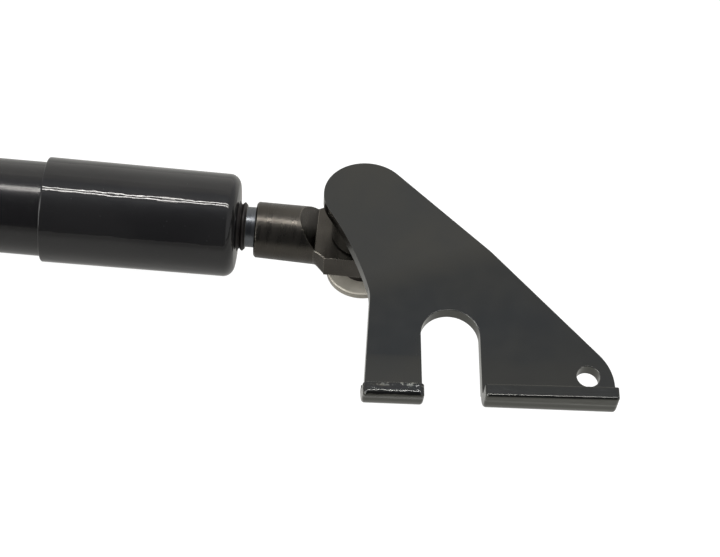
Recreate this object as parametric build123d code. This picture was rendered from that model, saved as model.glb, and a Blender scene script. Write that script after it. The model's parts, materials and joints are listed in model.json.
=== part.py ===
from build123d import *
import math
import os

# Gas strut stay, in millimetres. The strut lies along X and its two pivot pins stand along Z.
# While modelling, X = 0, Y = 0 is the axis of the pin on the cylinder end and Z = 0 is the
# strut's centreline. The strut runs from there towards -X, with the piston rod extended.
# All pieces are then moved so that the origin is the middle of the bracket's open slot.

# Cylinder and sleeve
TUBE_R = 11.0
TUBE_WALL = 1.2
TUBE_RIGHT_X = -31.8
TUBE_LENGTH = 183.0
TUBE_LIP_R = 8.3
TUBE_LIP_T = 1.3
SLEEVE_LENGTH = 44.6
SLEEVE_RIGHT_X = -29.8
SLEEVE_LEFT_R = 12.25
SLEEVE_RIGHT_R = 11.95
SLEEVE_SHOULDER_R = 2.6
SLEEVE_FACE_T = 1.6
SLEEVE_CROWN = 0.6
SLEEVE_BELL = 0.4
STROKE = 120.0

# Eye fitting: a turned bar with a male thread, a round shank and a milled flat eye
THREAD_R = 5.65
THREAD_ROOT_R = 5.1
THREAD_PITCH = 1.25
THREAD_LENGTH = 15.0
RELIEF_R = 4.7
RELIEF_LENGTH = 2.2
SHANK_R = 6.5
SHANK_END_R = 6.7
SHANK_DROP = 0.65
SHANK_END_DROP = 1.05
SHANK_FACE_X = -25.2
FLARE_START_X = -11.2
FLARE_END_X = -8.6
HEAD_R = 8.4
EYE_TOP_Z = 1.0
EYE_BOTTOM_Z = -4.8
RAMP_TOP_X = -15.6
RAMP_FOOT_X = -10.9

# Pivot: shoulder stud, bush, washer and clip
BUSH_R = 4.5
BUSH_BOTTOM_Z = -10.8
PIN_R = 3.5
PIN_CLEARANCE = 0.05
PIN_END_Z = -14.6
SHOULDER_R = 7.5
SHOULDER_FACE_Z = 1.1
WASHER_R = 8.25
WASHER_T = 1.6
WASHER_TOP_Z = -10.9
CLIP_T = 0.8
CLIP_R = 5.6
CLIP_GROOVE_R = 2.6

# Gaps between pieces
PRESS_GAP = 0.05
THREAD_CLEARANCE = 0.25

# Bracket plates
PLATE_T = 3.0
PLATE_TOP_Z = 14.75
LOBE_R = 9.7
BEND_ANGLE = 7.9
BEND_DISTANCE = 25.45
BEND_DIRECTION = -63.5
EDGE_DIRECTION = -43.0
CORNER_R = 12.0
LEG_DIRECTION = -84.5
SLOT_R = 6.55
SLOT_CENTRE = (21.5, -37.15)
WAIST_LOW = (3.1, -30.5)
WAIST_HIGH = (2.6, -27.5)
LIP_OUTER_DISTANCE = 18.0
LEFT_LIP_HEIGHTS = (4.2, 4.5)
RIGHT_LIP_HEIGHTS = (5.1, 5.9)
LEFT_LIP_CROWN_R = 1.2
RIGHT_LIP_CROWN_R = 0.6
LIP_CORNER_R = 0.7
LEFT_LIP_BULGE = 0.4
RIGHT_LIP_INSET = 0.3
LEFT_SIDE = -19.4
RIGHT_SIDE = 35.8
CORNER_START = 65.5
LIP_BEND_R = 1.5
HOLE_R = 2.6
HOLE_CENTRE = (52.3, -43.35)

# Piston rod and far end
ROD_R = 5.0
ROD_THREAD_R = 4.0
ROD_NUT_T = 5.0
ROD_NUT_FLATS = 13.0
GLAND_GAP = 8.0
FAR_PLATE_WIDTH = 44.0
FAR_PLATE_LENGTH = 24.0
FAR_PLATE_CENTRE = 26.0
FAR_HOLE_R = 3.25
FAR_HOLE_SPACING = 30.0

TUBE_LEFT_X = TUBE_RIGHT_X - TUBE_LENGTH
BORE_R = TUBE_R - TUBE_WALL
FAR_PIN_X = TUBE_LEFT_X - STROKE - GLAND_GAP - ROD_NUT_T + SHANK_FACE_X


def turned(points):
    """A solid of revolution about X, from (x, r) points that start and end on the axis or close on
    themselves."""
    outline = Polyline(*[(x, 0, r) for x, r in points], close=True)
    return revolve(make_face(outline), Axis.X)


def ring_x(x_low, x_high, inner, outer):
    return turned([(x_low, inner), (x_low, outer), (x_high, outer), (x_high, inner)])


def disc_z(z_low, z_high, radius):
    upright = (Align.CENTER, Align.CENTER, Align.MIN)
    return Pos(0, 0, z_low) * Cylinder(radius, z_high - z_low, align=upright)


def polar(angle, length=1.0):
    return Vector(length * math.cos(math.radians(angle)), length * math.sin(math.radians(angle)))


# --- cylinder -----------------------------------------------------------------------------------


def cylinder_tube():
    """Drawn tube whose two ends are rolled in over the plug and the rod gland."""
    left, right = TUBE_LEFT_X, TUBE_RIGHT_X
    outer = turned([(left, 0), (left, TUBE_R), (right, TUBE_R), (right, 0)])
    outer = fillet(outer.edges().filter_by(GeomType.CIRCLE), 1.0)
    bore = turned([(left + TUBE_LIP_T, 0), (left + TUBE_LIP_T, BORE_R),
                   (right - TUBE_LIP_T, BORE_R), (right - TUBE_LIP_T, 0)])
    mouth = turned([(left - 1, 0), (left - 1, TUBE_LIP_R), (right + 1, TUBE_LIP_R), (right + 1, 0)])
    return outer - bore - mouth


def end_sleeve():
    """Short cap pushed over the closed end, slightly tapered, with a rounded shoulder and a crowned
    end face."""
    right, left = SLEEVE_RIGHT_X, SLEEVE_RIGHT_X - SLEEVE_LENGTH
    tip = right + SLEEVE_CROWN
    mouth_r = THREAD_R + THREAD_CLEARANCE
    bore_r = TUBE_R + PRESS_GAP
    corner = (right, 0, SLEEVE_RIGHT_R)
    side = Polyline((tip, 0, 0), (left, 0, 0), (left, 0, SLEEVE_LEFT_R), corner)
    crown = ThreePointArc(corner, (right + 0.7 * SLEEVE_CROWN, 0, 9.0), (tip, 0, mouth_r))
    outline = Wire([*side.edges(), crown, Line((tip, 0, mouth_r), (tip, 0, 0))])
    outer = revolve(make_face(outline), Axis.X)
    rims = outer.edges().filter_by(GeomType.CIRCLE)
    shoulder = [e for e in rims if abs(e.radius - SLEEVE_RIGHT_R) < 0.01]
    outer = fillet(shoulder, SLEEVE_SHOULDER_R)
    outer = fillet(outer.edges().filter_by(GeomType.CIRCLE).sort_by(Axis.X)[0], SLEEVE_BELL)
    bore = turned([(left - 1, 0), (left - 1, bore_r), (right - SLEEVE_FACE_T, bore_r),
                   (right - SLEEVE_FACE_T, 0)])
    mouth = turned([(left, 0), (left, mouth_r), (tip + 1, mouth_r), (tip + 1, 0)])
    return outer - bore - mouth


PLUG_RIGHT_X = TUBE_RIGHT_X - TUBE_LIP_T
PLUG_LENGTH = 14.0
PLUG_FLOOR = 2.5
PLUG_GROOVE_DEPTH = 1.8
PLUG_LEFT_X = PLUG_RIGHT_X - PLUG_LENGTH
PLUG_GROOVE_X = PLUG_LEFT_X + 3.5
RING_SECTION = 1.9


def end_plug():
    """Steel plug that closes the tube, with a seal groove and the threaded hole for the fitting."""
    groove_low, groove_high = PLUG_GROOVE_X - 1.3, PLUG_GROOVE_X + 1.3
    wall, groove_r = BORE_R - PRESS_GAP, BORE_R - PLUG_GROOVE_DEPTH
    body = turned([(PLUG_LEFT_X, 0), (PLUG_LEFT_X, wall), (groove_low, wall), (groove_low, groove_r),
                   (groove_high, groove_r), (groove_high, wall), (PLUG_RIGHT_X, wall), (PLUG_RIGHT_X, 0)])
    blind_x = PLUG_LEFT_X + PLUG_FLOOR
    hole = turned([(blind_x, 0), (blind_x, THREAD_R + PRESS_GAP),
                   (PLUG_RIGHT_X + 1, THREAD_R + PRESS_GAP), (PLUG_RIGHT_X + 1, 0)])
    return body - hole


def seal_ring(x, outer):
    """Round-section rubber ring about the strut's axis."""
    radius = RING_SECTION / 2 - 0.1
    section = Plane(origin=(x, 0, outer - radius), x_dir=(1, 0, 0), z_dir=(0, 1, 0)) * Circle(radius)
    return revolve(section, Axis.X)


# --- eye fittings -------------------------------------------------------------------------------


def cross_circle(x, drop, radius):
    return Plane(origin=(x, 0, -drop), x_dir=(0, 1, 0), z_dir=(1, 0, 0)) * Circle(radius)


def milled_eye():
    """Forged shank that widens a little and drops a little towards the eye, then flares into a
    flat-sided head. The head is milled flat on top, with a sloping run-in from the shank."""
    middle_z = (EYE_TOP_Z + EYE_BOTTOM_Z) / 2
    height = EYE_TOP_Z - EYE_BOTTOM_Z
    shank = loft([cross_circle(SHANK_FACE_X, SHANK_DROP, SHANK_R),
                  cross_circle(FLARE_START_X, SHANK_END_DROP, SHANK_END_R)])
    shank = chamfer(shank.edges().filter_by(GeomType.CIRCLE).sort_by(Axis.X)[0], 0.4)
    flare_block = Plane(origin=(FLARE_END_X, 0, middle_z), x_dir=(0, 1, 0), z_dir=(1, 0, 0))
    flare = loft([cross_circle(FLARE_START_X, SHANK_END_DROP, SHANK_END_R),
                  flare_block * RectangleRounded(2 * HEAD_R, height, 0.6)])
    head = Pos(FLARE_END_X / 2, 0, middle_z) * Box(-FLARE_END_X, 2 * HEAD_R, height)
    head += Pos(0, 0, middle_z) * Cylinder(HEAD_R, height)
    far_out = 3 * HEAD_R
    above = Polyline((RAMP_TOP_X, 0, SHANK_R), (RAMP_FOOT_X, 0, EYE_TOP_Z), (far_out, 0, EYE_TOP_Z),
                     (far_out, 0, far_out), (RAMP_TOP_X, 0, far_out), close=True)
    body = shank + flare + head - extrude(make_face(above), far_out, both=True)
    return body - Cylinder(BUSH_R, 4 * far_out)


def cylinder_end_fitting():
    """The eye with its male thread and thread relief."""
    relief_x = SHANK_FACE_X - RELIEF_LENGTH
    turns = int(THREAD_LENGTH / THREAD_PITCH)
    start = relief_x - turns * THREAD_PITCH
    stem = [(start - 0.6, 0), (start - 0.6, THREAD_ROOT_R)]
    for turn in range(turns):
        x = start + turn * THREAD_PITCH
        stem += [(x, THREAD_ROOT_R), (x + 0.4 * THREAD_PITCH, THREAD_R),
                 (x + 0.6 * THREAD_PITCH, THREAD_R)]
    stem += [(relief_x, THREAD_ROOT_R), (relief_x, RELIEF_R), (SHANK_FACE_X + 1, RELIEF_R),
             (SHANK_FACE_X + 1, 0)]
    return milled_eye() + turned(stem)


def rod_end_fitting():
    """The same eye, facing the other way, with a blind threaded hole for the rod."""
    hole = turned([(SHANK_FACE_X - 1, 0), (SHANK_FACE_X - 1, ROD_THREAD_R + 0.05),
                   (FLARE_START_X - 1, ROD_THREAD_R + 0.05), (FLARE_START_X - 1, 0)])
    return Pos(FAR_PIN_X, 0, 0) * mirror(milled_eye() - hole, Plane.YZ)


# --- pivots -------------------------------------------------------------------------------------


def eye_bush():
    """Plain bush pressed into the eye. It stands out below the eye, down to the washer."""
    return disc_z(BUSH_BOTTOM_Z, EYE_TOP_Z, BUSH_R) - Cylinder(PIN_R + PIN_CLEARANCE, 60)


def shoulder_stud():
    """Stud welded under the plate: a thick shoulder, the pin, and a groove for the clip."""
    clip_z = WASHER_TOP_Z - WASHER_T
    shoulder = disc_z(SHOULDER_FACE_Z, PLATE_TOP_Z - PLATE_T, SHOULDER_R)
    shoulder = chamfer(shoulder.edges().filter_by(GeomType.CIRCLE).sort_by(Axis.Z)[0], 0.4)
    pin = disc_z(PIN_END_Z, SHOULDER_FACE_Z, PIN_R)
    pin = chamfer(pin.edges().filter_by(GeomType.CIRCLE).sort_by(Axis.Z)[0], 0.5)
    groove = disc_z(clip_z - CLIP_T - 0.05, clip_z, PIN_R + 1) - Cylinder(CLIP_GROOVE_R, 60)
    return shoulder + pin - groove


def pin_washer():
    washer = disc_z(WASHER_TOP_Z - WASHER_T, WASHER_TOP_Z, WASHER_R)
    washer = chamfer(washer.edges().filter_by(GeomType.CIRCLE).sort_by(Axis.Z)[-1], 0.25)
    return washer - Cylinder(PIN_R + PIN_CLEARANCE, 60)


def pin_clip():
    """Open retaining clip in the pin's groove: three inner lugs and an open mouth."""
    top = WASHER_TOP_Z - WASHER_T - 0.02
    low = top - CLIP_T
    clip = disc_z(low, top, CLIP_R) - Cylinder(PIN_R + 0.45, 60)
    for angle in (90, 210, 330):
        lug = Pos((PIN_R + CLIP_GROOVE_R) / 2 + 0.5, 0, low + CLIP_T / 2) * Box(2.0, 2.2, CLIP_T)
        clip += Rot(0, 0, angle) * lug
    clip -= Cylinder(CLIP_GROOVE_R + 0.03, 60)
    mouth = Rot(0, 0, 270) * Pos(CLIP_R, 0, 0) * Box(CLIP_R * 2, 4.4, 60)
    return clip - mouth


# --- shown bracket ------------------------------------------------------------------------------

BEND = polar(BEND_DIRECTION)
BEND_ALONG = Vector(-BEND.Y, BEND.X)
LEG = polar(LEG_DIRECTION)
LEG_SIDE = Vector(-LEG.Y, LEG.X)
BEND_POINT = Vector(BEND.X * BEND_DISTANCE, BEND.Y * BEND_DISTANCE, PLATE_TOP_Z)
DROP = math.radians(BEND_ANGLE)
LEG_OUT = Vector(BEND.X * math.cos(DROP), BEND.Y * math.cos(DROP), -math.sin(DROP))
LEG_NORMAL = Vector(BEND.X * math.sin(DROP), BEND.Y * math.sin(DROP), math.cos(DROP))


def flat_plane():
    """Top face of the lobe, in plain X and Y."""
    return Plane(origin=(0, 0, PLATE_TOP_Z), x_dir=(1, 0, 0), z_dir=(0, 0, 1))


def leg_plane():
    """Top face of the legs. Its X and Y are those of the blank before it was bent."""
    turn = Plane(origin=BEND_POINT, x_dir=BEND_ALONG, z_dir=LEG_NORMAL)
    plane = Plane(turn.location * Rot(0, 0, -(BEND_DIRECTION + 90)))
    shift = plane.x_dir * BEND_POINT.X + plane.y_dir * BEND_POINT.Y
    return Plane(origin=plane.origin - shift, x_dir=plane.x_dir, z_dir=plane.z_dir)


def slot_frame(side, along):
    """A point of the blank from its place across and along the slot."""
    centre = Vector(*SLOT_CENTRE)
    return centre + LEG_SIDE * side + LEG * along


def blank_outline():
    """Outline of the bracket's flat blank, as far as the outer faces of the lips."""
    right_touch = polar(EDGE_DIRECTION + 90, LOBE_R)
    left_touch = polar(212, LOBE_R)
    edge = polar(EDGE_DIRECTION)
    corner_start = right_touch + edge * CORNER_START
    corner_centre = corner_start - polar(EDGE_DIRECTION + 90, CORNER_R)
    corner_end = corner_centre + polar(LEG_DIRECTION + 90, CORNER_R)
    foot = LIP_OUTER_DISTANCE
    right_end = slot_frame(RIGHT_SIDE, foot)
    left_end = slot_frame(LEFT_SIDE, foot)
    waist = Vector(*WAIST_LOW)
    neck = Vector(*WAIST_HIGH)
    lobe = ThreePointArc(left_touch, polar(130, LOBE_R), right_touch)
    edge_line = Line(right_touch, corner_start)
    corner = ThreePointArc(corner_start, corner_centre + polar(28, CORNER_R), corner_end)
    bottom = Polyline(corner_end, right_end, left_end, waist)
    turn = ThreePointArc(waist, (waist + neck) / 2 + Vector(0.12, 0.03), neck)
    hollow = ThreePointArc(neck, (neck + left_touch) / 2 + polar(25, 0.85), left_touch)
    return make_face(Wire([lobe, edge_line, corner, *bottom.edges(), turn, hollow]))


def slot_cut():
    centre = Vector(*SLOT_CENTRE)
    run = LIP_OUTER_DISTANCE + 12
    a, b = slot_frame(-SLOT_R, 0), slot_frame(SLOT_R, 0)
    c, d = slot_frame(SLOT_R, run), slot_frame(-SLOT_R, run)
    round_end = ThreePointArc(b, centre - LEG * SLOT_R, a)
    return make_face(Wire([Line(a, d), Line(d, c), Line(c, b), round_end]))


def lip(side_low, side_high, height_low, height_high, crown_r):
    """Foot turned up square to the leg, with a bend that is round inside and out. Its top edge is
    rounded on the outside and at both ends, and so are its corners."""
    outer = LIP_OUTER_DISTANCE
    inner = outer - PLATE_T
    root = inner - LIP_BEND_R
    plane = leg_plane()
    start = slot_frame(side_low, 0)
    origin = plane.origin + plane.x_dir * start.X + plane.y_dir * start.Y
    along = plane.x_dir * LEG.X + plane.y_dir * LEG.Y
    across = plane.x_dir * LEG_SIDE.X + plane.y_dir * LEG_SIDE.Y
    height = max(height_low, height_high)
    centre = Vector(root, LIP_BEND_R)
    inner_arc = ThreePointArc((root, 0), centre + polar(-45, LIP_BEND_R), (inner, LIP_BEND_R))
    outer_arc = ThreePointArc((outer, LIP_BEND_R), centre + polar(-45, LIP_BEND_R + PLATE_T),
                              (root, -PLATE_T))
    upright = Polyline((inner, LIP_BEND_R), (inner, height), (outer, height), (outer, LIP_BEND_R))
    root_line = Line((root, -PLATE_T), (root, 0))
    profile = make_face(Wire([inner_arc, *upright.edges(), outer_arc, root_line]))
    width = side_high - side_low
    body = extrude(Plane(origin=origin, x_dir=along, z_dir=-across) * profile, amount=-width)
    slope = math.degrees(math.atan((height_high - height_low) / width))
    top = Plane(origin=origin + plane.z_dir * height_low, x_dir=along, z_dir=plane.z_dir)
    top = top.location * Rot(slope, 0, 0)
    body -= top * Box(200, 200, 40, align=(Align.CENTER, Align.CENTER, Align.MIN))
    outside = [e for e in body.edges() if (e.center() - origin).dot(along) > outer - 0.01]
    low_side = min(height_low, height_high) - 1.0
    corners = [e for e in outside if LIP_BEND_R < (e.center() - origin).dot(plane.z_dir) < low_side]
    body = fillet(corners, LIP_CORNER_R)
    crown = [e for e in body.edges() if (e.center() - origin).dot(along) > inner + 0.3
             and (e.center() - origin).dot(plane.z_dir) > low_side]
    return fillet(crown, crown_r)


def bracket_plate():
    """Plate with a shallow bend between the lobe and the legs, an open slot and two lips."""
    outline = blank_outline()
    lobe = extrude(flat_plane() * outline, -PLATE_T)
    legs = extrude(leg_plane() * (outline - slot_cut()), -PLATE_T)
    hole = leg_plane() * Pos(HOLE_CENTRE[0], HOLE_CENTRE[1], 0) * Cylinder(HOLE_R, 4 * PLATE_T)
    half = polar(BEND_DIRECTION) * math.cos(DROP / 2)
    mitre = Plane(origin=BEND_POINT, x_dir=BEND_ALONG,
                  z_dir=Vector(half.X, half.Y, -math.sin(DROP / 2)))
    beyond = mitre * Box(400, 400, 400, align=(Align.CENTER, Align.CENTER, Align.MIN))
    root = LIP_OUTER_DISTANCE - PLATE_T - LIP_BEND_R
    end_plane = leg_plane()
    cut_at = slot_frame(0, root)
    cut_origin = end_plane.origin + end_plane.x_dir * cut_at.X + end_plane.y_dir * cut_at.Y
    along = end_plane.x_dir * LEG.X + end_plane.y_dir * LEG.Y
    ends = Plane(origin=cut_origin, x_dir=end_plane.z_dir, z_dir=along)
    past_root = ends * Box(400, 400, 400, align=(Align.CENTER, Align.CENTER, Align.MIN))
    legs = (legs - past_root - hole) & beyond
    lobe -= beyond
    left_lip = lip(LEFT_SIDE - LEFT_LIP_BULGE, -SLOT_R, *LEFT_LIP_HEIGHTS, LEFT_LIP_CROWN_R)
    right_lip = lip(SLOT_R, RIGHT_SIDE - RIGHT_LIP_INSET, *RIGHT_LIP_HEIGHTS, RIGHT_LIP_CROWN_R)
    return lobe + legs + left_lip + right_lip


def far_bracket_plate():
    """Flat plate with the same lobe and two bolt holes."""
    middle = FAR_PIN_X - FAR_PLATE_CENTRE
    sheet = Pos(middle, 0) * RectangleRounded(FAR_PLATE_LENGTH, FAR_PLATE_WIDTH, 4)
    lobe = Pos(FAR_PIN_X, 0) * Circle(LOBE_R)
    web = Pos((middle + FAR_PIN_X) / 2, 0) * Rectangle(FAR_PLATE_CENTRE, 2 * LOBE_R)
    outline = sheet + lobe + web
    for side in (-1, 1):
        outline -= Pos(middle, side * FAR_HOLE_SPACING / 2) * Circle(FAR_HOLE_R)
    plate = extrude(outline, PLATE_T)
    inner_corners = [e for e in plate.edges().filter_by(Axis.Z)
                     if abs(abs(e.center().Y) - LOBE_R) < 0.01
                     and abs(e.center().X - middle) < FAR_PLATE_LENGTH]
    plate = fillet(inner_corners, 4.0)
    return Pos(0, 0, PLATE_TOP_Z - PLATE_T) * plate


# --- rod, piston and gland ----------------------------------------------------------------------

PISTON_RIGHT_X = PLUG_LEFT_X - STROKE - 7.5
PISTON_T = 9.0
PISTON_LEFT_X = PISTON_RIGHT_X - PISTON_T
PISTON_STEM_R = 3.5
PISTON_NUT_T = 5.0
VALVE_DISC_T = 1.0
GLAND_LEFT_X = TUBE_LEFT_X + TUBE_LIP_T
ROD_SHOULDER_X = PISTON_LEFT_X - VALVE_DISC_T
ROD_NUT_X = FAR_PIN_X - SHANK_FACE_X + 0.1
ROD_TIP_X = FAR_PIN_X - SHANK_FACE_X - 11.0
PISTON_SIDE_R = BORE_R - 0.3
PISTON_GROOVE_R = BORE_R - 2.0
PISTON_END_R = 8.0


def piston_rod():
    """Ground rod, turned down at both ends for the piston and for the end fitting."""
    face = ROD_NUT_X + ROD_NUT_T + 0.2
    tail = PISTON_RIGHT_X + PISTON_NUT_T + 1.0
    return turned([(ROD_TIP_X, 0), (ROD_TIP_X, ROD_THREAD_R - 0.5), (ROD_TIP_X + 0.5, ROD_THREAD_R),
                   (face, ROD_THREAD_R), (face, ROD_R - 0.6), (face + 0.6, ROD_R),
                   (ROD_SHOULDER_X, ROD_R), (ROD_SHOULDER_X, PISTON_STEM_R),
                   (tail, PISTON_STEM_R), (tail, 0)])


def piston():
    """Disc on the rod's stem, with tapered ends and a groove for the ring."""
    groove_low = PISTON_LEFT_X + PISTON_T / 2 - 1.2
    groove_high = PISTON_LEFT_X + PISTON_T / 2 + 1.2
    return turned([(PISTON_LEFT_X, PISTON_STEM_R), (PISTON_LEFT_X, PISTON_END_R),
                   (PISTON_LEFT_X + 1, PISTON_SIDE_R), (groove_low, PISTON_SIDE_R),
                   (groove_low, PISTON_GROOVE_R), (groove_high, PISTON_GROOVE_R),
                   (groove_high, PISTON_SIDE_R), (PISTON_RIGHT_X - 1, PISTON_SIDE_R),
                   (PISTON_RIGHT_X, PISTON_END_R), (PISTON_RIGHT_X, PISTON_STEM_R)])


def piston_ring():
    """Plastic ring that fills the piston's groove and runs in the bore."""
    middle = PISTON_LEFT_X + PISTON_T / 2
    return ring_x(middle - 1.1, middle + 1.1, BORE_R - 1.9, BORE_R - 0.06)


def valve_disc():
    """Thin disc between the piston and the rod's shoulder, which slows the extending stroke."""
    return ring_x(ROD_SHOULDER_X, PISTON_LEFT_X, PISTON_STEM_R, 7.6)


def piston_nut():
    nut = extrude(Plane(origin=(PISTON_RIGHT_X, 0, 0), x_dir=(0, 1, 0), z_dir=(1, 0, 0))
                  * RegularPolygon(5.5, 6, major_radius=False), PISTON_NUT_T)
    return nut - turned([(PISTON_RIGHT_X - 1, 0), (PISTON_RIGHT_X - 1, PISTON_STEM_R),
                         (PISTON_RIGHT_X + 9, PISTON_STEM_R), (PISTON_RIGHT_X + 9, 0)])


def rod_lock_nut():
    start = ROD_NUT_X
    nut = extrude(Plane(origin=(start, 0, 0), x_dir=(0, 1, 0), z_dir=(1, 0, 0))
                  * RegularPolygon(ROD_NUT_FLATS / 2, 6, major_radius=False), ROD_NUT_T)
    end = start + ROD_NUT_T
    round_off = turned([(start, 0), (start, 6.6), (start + 0.9, 7.6), (end - 0.9, 7.6), (end, 6.6), (end, 0)])
    hole = turned([(start - 1, 0), (start - 1, ROD_THREAD_R + 0.03), (start + 9, ROD_THREAD_R + 0.03),
                   (start + 9, 0)])
    return (nut & round_off) - hole


def gland_stack():
    """Wiper, seal, its backing washer, the rod guide and the stop ring, from the rod end inwards."""
    running = ROD_R + 0.05
    x = GLAND_LEFT_X
    wall = BORE_R - 0.05
    wiper = turned([(x, running + 0.4), (x, wall), (x + 2.5, wall), (x + 2.5, running + 0.4),
                    (x + 1.2, running)])
    x += 2.55
    guide = turned([(x, running), (x, wall), (x + 9, wall), (x + 9, 7.5), (x + 11, 7.0),
                    (x + 11, running)])
    x += 11.05
    washer = ring_x(x, x + 1.0, ROD_R + 0.3, wall)
    x += 1.05
    seal = turned([(x, running + 0.9), (x, wall), (x + 4.5, wall), (x + 4.5, 8.3), (x + 2, 7.6),
                   (x + 4.2, 6.0), (x + 3.6, running), (x + 2.6, running), (x + 1.8, running + 0.9)])
    x += 4.55
    stop = ring_x(x, x + 2.5, ROD_R + 0.4, wall)
    return {"rod_wiper": wiper, "rod_guide": guide, "seal_washer": washer, "rod_seal": seal,
            "stop_ring": stop}


def far(shape):
    return Pos(FAR_PIN_X, 0, 0) * shape


def all_pieces():
    pieces = {
        "cylinder_tube": cylinder_tube(),
        "end_sleeve": end_sleeve(),
        "end_plug": end_plug(),
        "end_plug_seal": seal_ring(PLUG_GROOVE_X, BORE_R - 0.02),
        "cylinder_end_fitting": cylinder_end_fitting(),
        "cylinder_end_bush": eye_bush(),
        "bracket_plate": bracket_plate(),
        "bracket_stud": shoulder_stud(),
        "bracket_washer": pin_washer(),
        "bracket_clip": pin_clip(),
        "piston_rod": piston_rod(),
        "piston": piston(),
        "piston_ring": piston_ring(),
        "valve_disc": valve_disc(),
        "piston_nut": piston_nut(),
        "rod_lock_nut": rod_lock_nut(),
        "rod_end_fitting": rod_end_fitting(),
        "rod_end_bush": far(eye_bush()),
        "rod_bracket_plate": far_bracket_plate(),
        "rod_bracket_stud": far(shoulder_stud()),
        "rod_bracket_washer": far(pin_washer()),
        "rod_bracket_clip": far(pin_clip()),
    }
    pieces.update(gland_stack())
    return pieces


def slot_origin():
    """The middle of the slot's round end, on the underside of the plate."""
    plane = leg_plane()
    top = plane.origin + plane.x_dir * SLOT_CENTRE[0] + plane.y_dir * SLOT_CENTRE[1]
    return top - plane.z_dir * PLATE_T


os.makedirs("parts", exist_ok=True)
ORIGIN = slot_origin()
for name, piece in all_pieces().items():
    export_step(Pos(-ORIGIN) * piece, f"parts/{name}.step")
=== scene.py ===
"""Looks of the gas strut stay: materials, studio light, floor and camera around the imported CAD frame."""
import json
import math

import bpy
from mathutils import Matrix, Vector


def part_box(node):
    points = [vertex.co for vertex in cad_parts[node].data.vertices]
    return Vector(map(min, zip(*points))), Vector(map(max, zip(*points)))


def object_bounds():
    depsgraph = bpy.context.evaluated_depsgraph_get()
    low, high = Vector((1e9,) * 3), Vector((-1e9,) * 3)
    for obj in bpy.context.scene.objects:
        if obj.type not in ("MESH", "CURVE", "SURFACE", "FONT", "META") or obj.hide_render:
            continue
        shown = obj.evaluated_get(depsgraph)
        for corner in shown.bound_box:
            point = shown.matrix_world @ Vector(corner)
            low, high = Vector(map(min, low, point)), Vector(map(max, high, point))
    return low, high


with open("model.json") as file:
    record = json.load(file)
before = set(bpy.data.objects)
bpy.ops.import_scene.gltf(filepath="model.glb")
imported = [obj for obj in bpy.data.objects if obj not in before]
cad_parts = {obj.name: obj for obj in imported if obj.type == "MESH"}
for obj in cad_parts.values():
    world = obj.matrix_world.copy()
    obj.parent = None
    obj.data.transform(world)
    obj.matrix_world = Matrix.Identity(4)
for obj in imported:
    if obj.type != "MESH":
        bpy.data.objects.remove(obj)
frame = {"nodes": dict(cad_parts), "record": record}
cad_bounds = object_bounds()
MM = 0.001


def centre(node):
    low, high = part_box(node)
    return (low + high) / 2


def level_way(degrees):
    """Unit vector in the horizontal plane, at this angle from +X."""
    angle = math.radians(degrees)
    return Vector((math.cos(angle), math.sin(angle), 0))


PIN = centre("bracket_washer")
STRUT = centre("cylinder_tube")
SLEEVE_TIP_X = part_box("end_sleeve")[1].x
SLOT = frame["record"]["mounts"][0]
SLOT_PLACE = Vector(SLOT["pos_m"])
PLATE_NORMAL = Vector(SLOT["axis"]).normalized()

# Along the bracket's legs, within the plate.
LEG_ANGLE = -84.5
FOOT_WAY = level_way(LEG_ANGLE)
FOOT_WAY = (FOOT_WAY - PLATE_NORMAL * FOOT_WAY.dot(PLATE_NORMAL)).normalized()
FOOT_SIDE = PLATE_NORMAL.cross(FOOT_WAY)

# Across the bracket's shallow bend.
BEND_ANGLE = -63.5
BEND_FROM_PIN = 25.45 * MM
BEND_WAY = level_way(BEND_ANGLE)
BEND_PLACE = PIN + BEND_WAY * BEND_FROM_PIN

# --- node helpers -------------------------------------------------------------------------------


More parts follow.
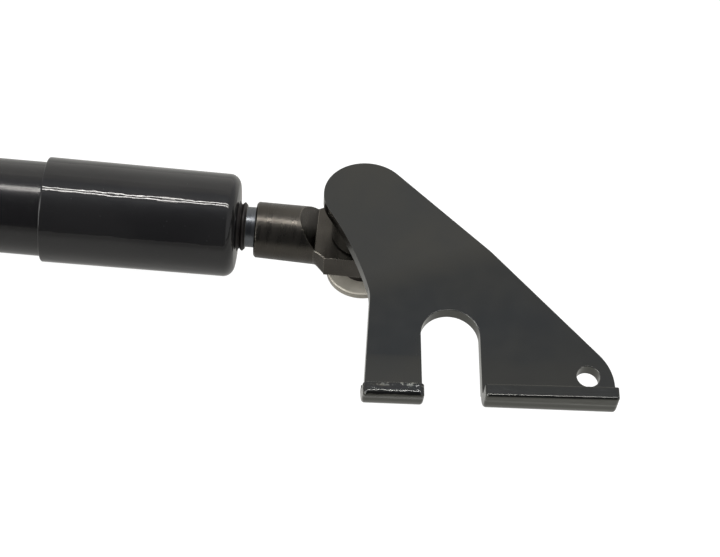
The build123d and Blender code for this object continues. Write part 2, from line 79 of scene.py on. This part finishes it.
class Nodes:
    """Short names for adding and joining shader nodes in one material."""

    def __init__(self, name):
        self.material = bpy.data.materials.new(name)
        self.material.use_nodes = True
        self.tree = self.material.node_tree
        self.shader = self.tree.nodes["Principled BSDF"]
        self.place = self.add("ShaderNodeTexCoord").outputs["Object"]

    def add(self, kind, **settings):
        node = self.tree.nodes.new(kind)
        for key, value in settings.items():
            setattr(node, key, value)
        return node

    def join(self, source, target):
        self.tree.links.new(source, target)

    def math(self, operation, a, b=0.0, c=0.0):
        node = self.add("ShaderNodeMath", operation=operation)
        for socket, value in zip(node.inputs, (a, b, c)):
            if isinstance(value, (int, float)):
                socket.default_value = value
            else:
                self.join(value, socket)
        return node.outputs[0]

    def noise(self, scale, detail=3.0, stretch=(1, 1, 1)):
        """Noise from 0 to 1. scale is in cells per metre, stretch lengthens the cells per axis."""
        mapping = self.add("ShaderNodeMapping")
        mapping.inputs["Scale"].default_value = [1 / s for s in stretch]
        self.join(self.place, mapping.inputs["Vector"])
        noise = self.add("ShaderNodeTexNoise")
        noise.inputs["Scale"].default_value = scale
        noise.inputs["Detail"].default_value = detail
        self.join(mapping.outputs["Vector"], noise.inputs["Vector"])
        return noise.outputs["Fac"]

    def span(self, value, low, high, to_low=0.0, to_high=1.0, smooth=True):
        """value taken from low..high to to_low..to_high, clamped."""
        node = self.add("ShaderNodeMapRange", interpolation_type="SMOOTHSTEP" if smooth else "LINEAR")
        node.inputs["From Min"].default_value = low
        node.inputs["From Max"].default_value = high
        node.inputs["To Min"].default_value = to_low
        node.inputs["To Max"].default_value = to_high
        self.join(value, node.inputs["Value"])
        return node.outputs["Result"]

    def blend(self, factor, first, second):
        """Colour from first to second by factor. Each is an (r, g, b) or a socket."""
        node = self.add("ShaderNodeMix", data_type="RGBA")
        self.join(factor, node.inputs["Factor"])
        for socket, value in ((node.inputs[6], first), (node.inputs[7], second)):
            if isinstance(value, tuple):
                socket.default_value = (*value, 1)
            else:
                self.join(value, socket)
        return node.outputs[2]

    def axis(self, direction, origin=(0, 0, 0)):
        """Distance of the surface point from origin along direction, in metres."""
        node = self.add("ShaderNodeVectorMath", operation="DOT_PRODUCT")
        self.join(self.place, node.inputs[0])
        node.inputs[1].default_value = direction
        return self.math("SUBTRACT", node.outputs["Value"], Vector(origin).dot(Vector(direction)))

    def facing(self, direction):
        """Cosine between the face's normal and a direction."""
        node = self.add("ShaderNodeVectorMath", operation="DOT_PRODUCT")
        self.join(self.add("ShaderNodeNewGeometry").outputs["Normal"], node.inputs[0])
        node.inputs[1].default_value = direction
        return node.outputs["Value"]

    def round_edges(self, radius_mm):
        """A normal that rounds the edges by this radius."""
        node = self.add("ShaderNodeBevel", samples=6)
        node.inputs["Radius"].default_value = radius_mm * MM
        return node.outputs["Normal"]

    def edge_mask(self, radius_mm, sharp=0.16):
        """1 at outer and inner edges, 0 on open faces."""
        node = self.add("ShaderNodeVectorMath", operation="DOT_PRODUCT")
        self.join(self.round_edges(radius_mm), node.inputs[0])
        self.join(self.add("ShaderNodeNewGeometry").outputs["Normal"], node.inputs[1])
        return self.span(self.math("SUBTRACT", 1.0, node.outputs["Value"]), 0.01, sharp)

    def bumps(self, layers, normal=None):
        """Chains bump nodes. Each layer is (height socket, distance in mm)."""
        for height, distance in layers:
            bump = self.add("ShaderNodeBump")
            bump.inputs["Strength"].default_value = 1.0
            bump.inputs["Distance"].default_value = distance * MM
            self.join(height, bump.inputs["Height"])
            if normal is not None:
                self.join(normal, bump.inputs["Normal"])
            normal = bump.outputs["Normal"]
        self.join(normal, self.shader.inputs["Normal"])

    def set(self, **values):
        """Sets shader sockets by name, with _ for a space. A socket value is joined."""
        for key, value in values.items():
            socket = self.shader.inputs[key.replace("_", " ")]
            if isinstance(value, bpy.types.NodeSocket):
                self.join(value, socket)
            elif isinstance(value, tuple):
                socket.default_value = (*value, 1)
            else:
                socket.default_value = value


# --- materials ----------------------------------------------------------------------------------


def enamel(name="gloss_black"):
    """Satin-gloss black enamel on the drawn tube, with fine orange peel and a faint drawing grain."""
    m = Nodes(name)
    dust = m.span(m.noise(900, 4), 0.55, 0.75)
    m.set(Base_Color=m.blend(dust, (0.0055, 0.0052, 0.006), (0.012, 0.0118, 0.012)),
          Roughness=m.span(m.noise(260, 5, stretch=(8, 1, 1)), 0.3, 0.7, 0.15, 0.20), IOR=1.52)
    m.bumps([(m.noise(1500, 2), 0.004), (m.noise(160, 2, stretch=(6, 1, 1)), 0.03)], m.round_edges(0.25))
    return m.material


def cap_plastic(name="black_cap"):
    """Glossy moulded sleeve. Long shallow waves make its highlights wander."""
    m = Nodes(name)
    specks = m.span(m.noise(1400, 2), 0.72, 0.76)
    cloud = m.span(m.noise(60, 3), 0.35, 0.65)
    m.set(Base_Color=m.blend(specks, m.blend(cloud, (0.0085, 0.0083, 0.0092), (0.0115, 0.0113, 0.012)),
                             (0.024, 0.024, 0.024)),
          Roughness=m.span(m.noise(300, 4), 0.3, 0.7, 0.045, 0.08), IOR=1.5)
    m.bumps([(m.noise(150, 2, stretch=(1.8, 1, 1)), 0.10), (m.noise(400, 2, stretch=(1.6, 1, 1)), 0.03),
             (m.noise(1500, 2), 0.002)])
    return m.material


# From the sleeve's tip along the strut.
THREAD_END = (1.7 * MM, 1.8 * MM)
GROOVE_START = (1.8 * MM, 1.9 * MM)
GROOVE_END = (3.9 * MM, 4.0 * MM)
THREAD_ROUGHER = 0.22


def dark_nickel(name="dark_nickel"):
    """Warm dark plating on turned steel: tool rings, a bright relief groove, and paler edges that are partly
    wear and partly a painted edge highlight.
    """
    m = Nodes(name)
    x = m.axis((1, 0, 0), (SLEEVE_TIP_X, 0, 0))
    groove = m.math("MULTIPLY", m.span(x, *GROOVE_START), m.span(x, *GROOVE_END, 1, 0))
    thread = m.span(x, *THREAD_END, 1, 0)
    tone = m.blend(m.span(m.noise(130, 4), 0.3, 0.7), (0.061, 0.056, 0.050), (0.080, 0.074, 0.066))
    # Paler edges: partly wear, partly a painted edge highlight.
    wear_and_edge_highlight = m.blend(m.edge_mask(0.25, 0.09), tone, (0.30, 0.28, 0.245))
    dark = m.blend(thread, wear_and_edge_highlight, (0.060, 0.056, 0.055))
    polish = m.span(m.noise(700, 4, stretch=(1, 6, 6)), 0.3, 0.7, 0.24, 0.35)
    m.set(Base_Color=m.blend(groove, dark, (0.120, 0.127, 0.138)), Metallic=1.0,
          Roughness=m.math("MULTIPLY_ADD", thread, THREAD_ROUGHER, polish))
    m.bumps([(m.noise(2600, 3, stretch=(1, 40, 40)), 0.005), (m.noise(1500, 3), 0.005)], m.round_edges(0.25))
    return m.material


# From the slot's centre along the legs.
RISE_TO_FOOT = (5.5 * MM, 15 * MM)
FOOT_START = (14.6 * MM, 15.2 * MM)
# Where the painted highlights along the left foot's inner top edge end.
GLINT_END = (15.5 * MM, 16.1 * MM)
# From the slot's centre, above the plate and across to the left leg.
FOOT_ABOVE = (5.5 * MM, 6.5 * MM)
LEFT_OF_SLOT = (-1 * MM, 1 * MM)
BEND_HALF_WIDTH = 4 * MM
# Bump distances in mm.
BEND_CREASE = 0.138
FOOT_RISE = 0.45
LEFT_FOOT_RISE = 0.6
FOOT_MARKS = 0.16
LEFT_FOOT_MARKS = 0.4


def black_nickel(name="black_nickel"):
    """Bright black plating on rolled plate. Faces turned away from the plate's normal, on the cut edges and
    the turned-up feet, are painted paler as painted light; the edges are paler still from wear and a painted
    edge highlight, and pale blobs on the left foot's inner top edge are painted highlights. The shallow bend
    is soft, the face rises a little before each foot, and the feet's end faces are uneven from the shears."""
    m = Nodes(name)
    face = m.blend(m.span(m.noise(55, 3), 0.3, 0.7), (0.061, 0.063, 0.064), (0.069, 0.069, 0.066))
    # Faces turned away from the plate's normal, the cut edges and the feet, are painted paler: painted
    # light.
    painted_pale_faces = m.span(m.math("ABSOLUTE", m.facing(PLATE_NORMAL)), 0.55, 0.8, 1, 0)
    tint = m.blend(painted_pale_faces, face, (0.100, 0.101, 0.093))
    # Paler edges: partly wear, partly a painted edge highlight.
    wear_and_edge_highlight = m.blend(m.edge_mask(0.15), tint, (0.21, 0.21, 0.195))
    along = m.axis(FOOT_WAY, SLOT_PLACE)
    above = m.axis(PLATE_NORMAL, SLOT_PLACE)
    on_foot = m.math("MULTIPLY", m.span(along, *FOOT_START), m.span(above, *FOOT_ABOVE))
    left = m.span(m.axis(FOOT_SIDE, SLOT_PLACE), *LEFT_OF_SLOT, 1, 0)
    left_foot = m.math("MULTIPLY", on_foot, left)
    # Pale blobs along the left foot's inner top edge: painted highlights.
    painted_glints = m.math("MULTIPLY", left_foot, m.span(along, *GLINT_END, 1, 0))
    painted_glints = m.math("MULTIPLY", painted_glints, m.span(m.noise(620, 2), 0.47, 0.62))
    m.set(Base_Color=m.blend(painted_glints, wear_and_edge_highlight, (0.42, 0.42, 0.38)), Metallic=1.0,
          Roughness=m.span(m.noise(240, 5), 0.3, 0.7, 0.10, 0.15))
    near_foot = m.math("POWER", m.span(along, *RISE_TO_FOOT, smooth=False), 1.3)
    off_bend = m.math("ABSOLUTE", m.axis(BEND_WAY, BEND_PLACE))
    crease = m.math("POWER", m.span(off_bend, 0, BEND_HALF_WIDTH, 1, 0, smooth=False), 2.0)
    coarse = m.noise(260, 3, stretch=(1.6, 1, 1))
    m.bumps([(m.math("MULTIPLY", crease, -1.0), BEND_CREASE), (near_foot, FOOT_RISE),
             (m.math("MULTIPLY", near_foot, left), LEFT_FOOT_RISE),
             (m.noise(60, 2), 0.05), (m.noise(420, 3), 0.0015),
             (m.math("MULTIPLY", on_foot, coarse), FOOT_MARKS),
             (m.math("MULTIPLY", left_foot, coarse), LEFT_FOOT_MARKS)],
            m.round_edges(0.28))
    return m.material


def zinc(name="zinc"):
    """Pale passivated zinc with small crystals and a faintly stained face. Its side wall is painted darker:
    painted shade.
    """
    m = Nodes(name)
    stain = m.span(m.noise(220, 4), 0.35, 0.7)
    tone = m.blend(stain, (0.74, 0.695, 0.59), (0.88, 0.83, 0.72))
    # The side wall is painted darker than the face: painted shade.
    painted_shaded_wall = m.span(m.math("ABSOLUTE", m.facing((0, 0, 1))), 0.3, 0.6, 1, 0)
    m.set(Base_Color=m.blend(painted_shaded_wall, tone, (0.30, 0.28, 0.24)), Metallic=0.12,
          Roughness=m.span(m.noise(500, 4), 0.3, 0.7, 0.30, 0.45))
    m.bumps([(m.noise(1800, 3), 0.006)], m.round_edges(0.2))
    return m.material


def machined(name, low, high, metallic=1.0, rough=(0.28, 0.42), grain=(1, 20, 20)):
    """Turned metal in two close tones, with rings across the strut's axis."""
    m = Nodes(name)
    m.set(Base_Color=m.blend(m.span(m.noise(400, 4), 0.3, 0.7), low, high), Metallic=metallic,
          Roughness=m.span(m.noise(900, 4, stretch=grain), 0.3, 0.7, *rough))
    m.bumps([(m.noise(2200, 3, stretch=grain), 0.008)], m.round_edges(0.2))
    return m.material


MATERIALS = {
    "gloss_black": enamel(),
    "black_cap": cap_plastic(),
    "dark_nickel": dark_nickel(),
    "black_nickel": black_nickel(),
    "zinc": zinc(),
    "spring_steel": machined("spring_steel", (0.05, 0.046, 0.045), (0.08, 0.075, 0.07)),
    "ground_chrome": machined("ground_chrome", (0.66, 0.67, 0.69), (0.74, 0.75, 0.77), rough=(0.06, 0.12)),
    "plain_steel": machined("plain_steel", (0.42, 0.42, 0.42), (0.54, 0.54, 0.53)),
    "alloy": machined("alloy", (0.62, 0.62, 0.63), (0.74, 0.74, 0.75)),
    "rubber": machined("rubber", (0.018, 0.018, 0.018), (0.03, 0.03, 0.03), 0.0, (0.5, 0.65), (1, 1, 1)),
    "guide_plastic": machined("guide_plastic", (0.05, 0.05, 0.05), (0.08, 0.08, 0.08), 0.0, (0.4, 0.5)),
}
for part in frame["record"]["subparts"]:
    node = frame["nodes"][part["node"]]
    node.data.materials.clear()
    node.data.materials.append(MATERIALS[part["material_slot"]])

# --- studio -------------------------------------------------------------------------------------

ROOM_BELOW = 8 * MM  # the far plate needs it when the rod spins
FLOOR_HALF_WIDTH = 6.0
# Across the strut from its axis, towards the back: where its shade on the floor starts and ends.
SHADE_START = (-2 * MM, 6 * MM)
SHADE_END = (40 * MM, 70 * MM)
SHADE_DEPTH = 0.24
# The floor's glow fades towards the front, between these distances from the strut.
FADE = (-240 * MM, -30 * MM)
FADE_GLOW = (0.12, 0.43)


def floor(height):
    """Large pale floor. It looks even and white, and lights the object a little less than that, least
    of all in the strip that the strut itself shades."""
    mesh = bpy.data.meshes.new("floor")
    corners = [(-1, -1), (1, -1), (1, 1), (-1, 1)]
    mesh.from_pydata([(x * FLOOR_HALF_WIDTH, y * FLOOR_HALF_WIDTH, height) for x, y in corners], [],
                     [(0, 1, 2, 3)])
    sheet = bpy.data.objects.new("floor", mesh)
    bpy.context.scene.collection.objects.link(sheet)
    m = Nodes("studio_floor")
    m.set(Base_Color=(0.14, 0.14, 0.14), Roughness=0.9, Specular_IOR_Level=0.0,
          Emission_Color=(1, 1, 1), Emission_Strength=0.96)
    bounce = m.add("ShaderNodeBsdfPrincipled")
    bounce.inputs["Base Color"].default_value = (0.2, 0.2, 0.19, 1)
    bounce.inputs["Specular IOR Level"].default_value = 0.0
    bounce.inputs["Emission Color"].default_value = (1, 0.99, 0.96, 1)
    y = m.axis((0, 1, 0), STRUT)
    shade = m.math("MULTIPLY", m.span(y, *SHADE_START), m.span(y, *SHADE_END, 1, 0))
    glow = m.span(y, *FADE, *FADE_GLOW)
    m.join(m.math("MULTIPLY_ADD", shade, -SHADE_DEPTH, glow), bounce.inputs["Emission Strength"])
    choose = m.add("ShaderNodeMixShader")
    m.join(m.add("ShaderNodeLightPath").outputs["Is Camera Ray"], choose.inputs["Fac"])
    m.join(bounce.outputs[0], choose.inputs[1])
    m.join(m.shader.outputs[0], choose.inputs[2])
    m.join(choose.outputs[0], m.tree.nodes["Material Output"].inputs["Surface"])
    mesh.materials.append(m.material)


WARM = (1.0, 0.985, 0.94)
COOL = (0.95, 0.975, 1.0)
LAMP_TINT = (1.0, 0.97, 0.93)
# Angle about the strut in degrees, brightness and tint of the room's walls.
STUDIO_STOPS = [(0, 0.13, WARM), (6, 0.10, COOL), (40, 0.11, COOL), (58, 0.16, COOL), (70, 0.27, COOL),
                (78, 0.42, COOL), (84, 0.70, COOL), (104, 0.80, COOL), (116, 0.61, COOL),
                (124, 0.78, WARM), (131, 0.88, WARM), (180, 0.90, WARM)]
# The two lamps, in the same degrees. Their glow is what they add to the walls' own.
LAMP_ANGLES = (92.0, 97.5)
LAMP_HALF_WIDTH = 0.75
LAMP_GLOW = 31.0
# Past the strut's ends: grey walls, from these values of |x| on in a unit direction, and their window.
PAST_ENDS = (0.38, 0.58)
SIDE_ROOM = 0.62
WINDOW_GLOW = 3.6
WINDOW_SOFTNESS = 0.1


def studio_world():
    """White backdrop behind, a pair of thin overhead lamps, a dark room on the camera's side, and grey
    walls past both ends of the strut with a window at the front left. The angle about the strut runs
    from 0 at the front horizon over 90 overhead to 180 at the back horizon."""
    world = bpy.data.worlds.new("studio")
    bpy.context.scene.world = world
    world.use_nodes = True
    tree = world.node_tree
    tree.nodes.clear()

    def add(kind, inputs, output=0, **settings):
        node = tree.nodes.new(kind)
        for key, value in settings.items():
            setattr(node, key, value)
        for key, value in inputs.items():
            if isinstance(value, bpy.types.NodeSocket):
                tree.links.new(value, node.inputs[key])
            else:
                node.inputs[key].default_value = value
        return node.outputs[output]

    def work(operation, *values):
        return add("ShaderNodeMath", dict(enumerate(values)), operation=operation)

    def reach(value, low, high, to_low, to_high):
        return add("ShaderNodeMapRange", dict(enumerate((value, low, high, to_low, to_high))))

    direction = add("ShaderNodeTexCoord", {}, "Generated")
    x, y, z = (add("ShaderNodeSeparateXYZ", {0: direction}, axis) for axis in range(3))
    turn = work("DIVIDE", work("ARCTAN2", z, work("MULTIPLY", y, -1.0)), math.pi)

    walls = tree.nodes.new("ShaderNodeValToRGB")
    tree.links.new(turn, walls.inputs["Fac"])
    stops = walls.color_ramp.elements
    while len(stops) < len(STUDIO_STOPS):
        stops.new(0.5)
    for stop, (degrees, level, tint) in zip(stops, STUDIO_STOPS):
        stop.position = degrees / 180
        stop.color = (*(level * channel for channel in tint), 1)

    first, second = (work("COMPARE", turn, degrees / 180, LAMP_HALF_WIDTH / 180) for degrees in LAMP_ANGLES)
    lamps = work("ADD", first, second)
    colour = add("ShaderNodeMix", {0: lamps, 6: walls.outputs["Color"], 7: (*LAMP_TINT, 1)}, 2,
                 data_type="RGBA")
    middle = add("ShaderNodeBackground",
                 {"Color": colour, "Strength": work("MULTIPLY_ADD", lamps, LAMP_GLOW, 1.0)})

    on_left, in_front = (reach(part, -WINDOW_SOFTNESS, WINDOW_SOFTNESS, 1.0, 0.0) for part in (x, y))
    window = work("MULTIPLY", work("MULTIPLY", on_left, in_front), reach(z, 0.0, WINDOW_SOFTNESS, 0.0, 1.0))
    ends = add("ShaderNodeBackground", {"Color": (SIDE_ROOM, SIDE_ROOM, SIDE_ROOM, 1),
                                        "Strength": work("MULTIPLY_ADD", window, WINDOW_GLOW, 1.0)})
    past_ends = reach(work("ABSOLUTE", x), *PAST_ENDS, 0.0, 1.0)
    studio = add("ShaderNodeMixShader", {0: past_ends, 1: middle, 2: ends})
    pale = add("ShaderNodeBackground", {"Color": (1, 1, 1, 1), "Strength": 1.0})
    seen = add("ShaderNodeLightPath", {}, "Is Camera Ray")
    final = add("ShaderNodeMixShader", {0: seen, 1: studio, 2: pale})
    output = tree.nodes.new("ShaderNodeOutputWorld")
    tree.links.new(final, output.inputs["Surface"])


# --- camera -------------------------------------------------------------------------------------

# Angles in degrees.
VIEW_AZIMUTH = 1.53
VIEW_ELEVATION = 49.96
VIEW_ROLL = 3.82
VIEW_DISTANCE = 570.67 * MM
VIEW_FROM_PIN = Vector((0.15, -12.7, 0)) * MM
LENS = 124.37
SENSOR = 36


def camera():
    """Looks at a point just in front of the shown pin, at the height of the strut's axis."""
    data = bpy.data.cameras.new("camera")
    data.lens = LENS
    data.sensor_width = SENSOR
    data.sensor_fit = "HORIZONTAL"
    data.clip_start = 0.01
    data.clip_end = 100
    target = Vector((PIN.x, PIN.y, STRUT.z)) + VIEW_FROM_PIN
    azimuth, elevation = math.radians(VIEW_AZIMUTH), math.radians(VIEW_ELEVATION)
    away = Vector((math.sin(azimuth) * math.cos(elevation), -math.cos(azimuth) * math.cos(elevation),
                   math.sin(elevation)))
    roll = Matrix.Rotation(math.radians(VIEW_ROLL), 4, "Z")
    turn = away.to_track_quat("Z", "Y").to_matrix().to_4x4() @ roll
    rig = bpy.data.objects.new("camera", data)
    rig.matrix_world = Matrix.Translation(target + away * VIEW_DISTANCE) @ turn
    bpy.context.scene.collection.objects.link(rig)
    bpy.context.scene.camera = rig


bpy.context.scene.view_settings.view_transform = "Standard"
floor(cad_bounds[0][2] - ROOM_BELOW)
studio_world()
camera()
